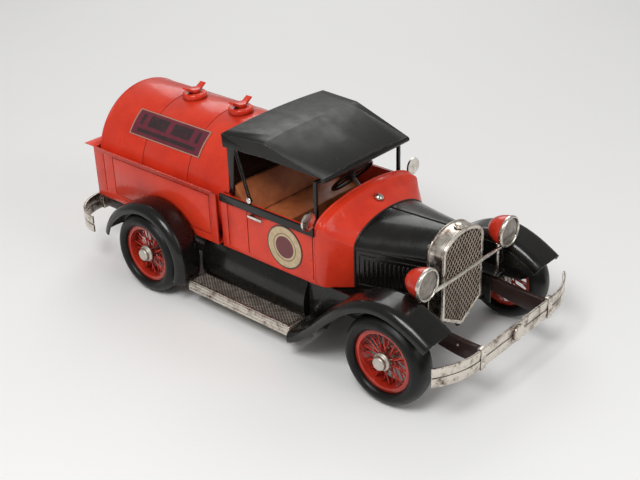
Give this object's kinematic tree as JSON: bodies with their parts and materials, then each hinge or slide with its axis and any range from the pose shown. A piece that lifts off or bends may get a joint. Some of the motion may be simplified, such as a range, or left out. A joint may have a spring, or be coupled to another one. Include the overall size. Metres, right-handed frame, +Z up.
{
  "type": "tin toy tanker truck",
  "caption": "Old-fashioned tin toy tanker truck: open cab with black canopy, red ribbed barrel tank on a bed, spoked wheels that roll, a turning steering wheel and turning filler caps.",
  "frame": {"origin": "on the floor plane, under the middle of the truck's length and width", "axes": "+X to the front of the truck, +Y to the truck's left, +Z up"},
  "size_m": [0.36, 0.1528, 0.1372],
  "materials": {
    "red_enamel": "gloss enamel with brown wash in the seams",
    "black_enamel": "semi-gloss enamel, rubbed at the edges",
    "roof_black": "satin enamel",
    "aged_nickel": "aged bright plating with brown patina",
    "tread_plate": "dark embossed diamond tread",
    "dark_interior": "dark red-brown enamel",
    "dark_steel": "dark brown enamel",
    "axle_steel": "dull drawn rod",
    "seat_leather": "brown-orange seat covering",
    "mirror_glass": "bright metal disc",
    "emblem_cream": "plain cream roundel with a dark border",
    "label_maroon": "plain maroon panel with a thin light border",
    "grille_copper": "diamond mesh, copper on dark",
    "lens_silver": "grainy pale silver disc",
    "steering_black": "dark enamel",
    "tyre_rubber": "smooth black rubber",
    "wheel_red": "glossy dark red enamel",
    "hub_silver": "pale silver"
  },
  "bodies": {
    "truck": {"chassis_frame": "black_enamel", "wheel_axles": "axle_steel", "front_fender_left": "black_enamel", "front_fender_right": "black_enamel", "rear_fender_left": "black_enamel", "rear_fender_right": "black_enamel", "running_boards": "aged_nickel", "running_board_treads": "tread_plate", "side_aprons": "black_enamel", "cab_body": "red_enamel", "belt_mouldings": "black_enamel", "cab_floor": "dark_interior", "cab_back": "black_enamel", "seat_cushion": "seat_leather", "seat_back": "seat_leather", "roof_canopy": "roof_black", "windshield_frame": "black_enamel", "landau_bars": "aged_nickel", "side_mirrors": "mirror_glass", "door_handles": "aged_nickel", "door_emblems": "emblem_cream", "cowl": "red_enamel", "hood": "black_enamel", "dashboard": "dark_interior", "cowl_cap": "aged_nickel", "radiator_shell": "aged_nickel", "grille_mesh": "grille_copper", "radiator_cap": "black_enamel", "headlight_buckets": "red_enamel", "headlight_rims": "aged_nickel", "headlight_lenses": "lens_silver", "headlight_mounts": "aged_nickel", "steering_column": "axle_steel", "truck_bed": "red_enamel", "tank_shell": "red_enamel", "tank_labels": "label_maroon", "filler_necks": "red_enamel", "front_bumper": "aged_nickel", "rear_bumper": "aged_nickel", "bumper_clamps": "aged_nickel", "bumper_arms": "dark_steel"},
    "front_left_wheel": {"front_left_tyre": "tyre_rubber", "front_left_rim": "wheel_red", "front_left_hub": "hub_silver", "front_left_spokes": "wheel_red"},
    "front_right_wheel": {"front_right_tyre": "tyre_rubber", "front_right_rim": "wheel_red", "front_right_hub": "hub_silver", "front_right_spokes": "wheel_red"},
    "rear_left_wheel": {"rear_left_tyre": "tyre_rubber", "rear_left_rim": "wheel_red", "rear_left_hub": "hub_silver", "rear_left_spokes": "wheel_red"},
    "rear_right_wheel": {"rear_right_tyre": "tyre_rubber", "rear_right_rim": "wheel_red", "rear_right_hub": "hub_silver", "rear_right_spokes": "wheel_red"},
    "steering_wheel_body": {"steering_wheel": "steering_black"},
    "filler_cap_front": {"filler_nut_front": "red_enamel"},
    "filler_cap_rear": {"filler_nut_rear": "red_enamel"}
  },
  "joints": [
    {"name": "front_left_wheel_spin", "type": "hinge", "parent": "truck", "child": "front_left_wheel", "pos_m": [0.1282, 0.0661, 0.03075], "axis": [0, 1, 0], "continuous": true},
    {"name": "front_right_wheel_spin", "type": "hinge", "parent": "truck", "child": "front_right_wheel", "pos_m": [0.1282, -0.0661, 0.03075], "axis": [0, 1, 0], "continuous": true},
    {"name": "rear_left_wheel_spin", "type": "hinge", "parent": "truck", "child": "rear_left_wheel", "pos_m": [-0.0908, 0.0661, 0.03075], "axis": [0, 1, 0], "continuous": true},
    {"name": "rear_right_wheel_spin", "type": "hinge", "parent": "truck", "child": "rear_right_wheel", "pos_m": [-0.0908, -0.0661, 0.03075], "axis": [0, 1, 0], "continuous": true},
    {"name": "steering_wheel_turn", "type": "hinge", "parent": "truck", "child": "steering_wheel_body", "pos_m": [0.026, 0.022, 0.09195], "axis": [-0.7361, 0, 0.6769], "range_deg": [-180, 180]},
    {"name": "filler_cap_front_turn", "type": "hinge", "parent": "truck", "child": "filler_cap_front", "pos_m": [-0.058, 0, 0.13], "axis": [0, 0, 1], "continuous": true},
    {"name": "filler_cap_rear_turn", "type": "hinge", "parent": "truck", "child": "filler_cap_rear", "pos_m": [-0.106, 0, 0.13], "axis": [0, 0, 1], "continuous": true}
  ]
}
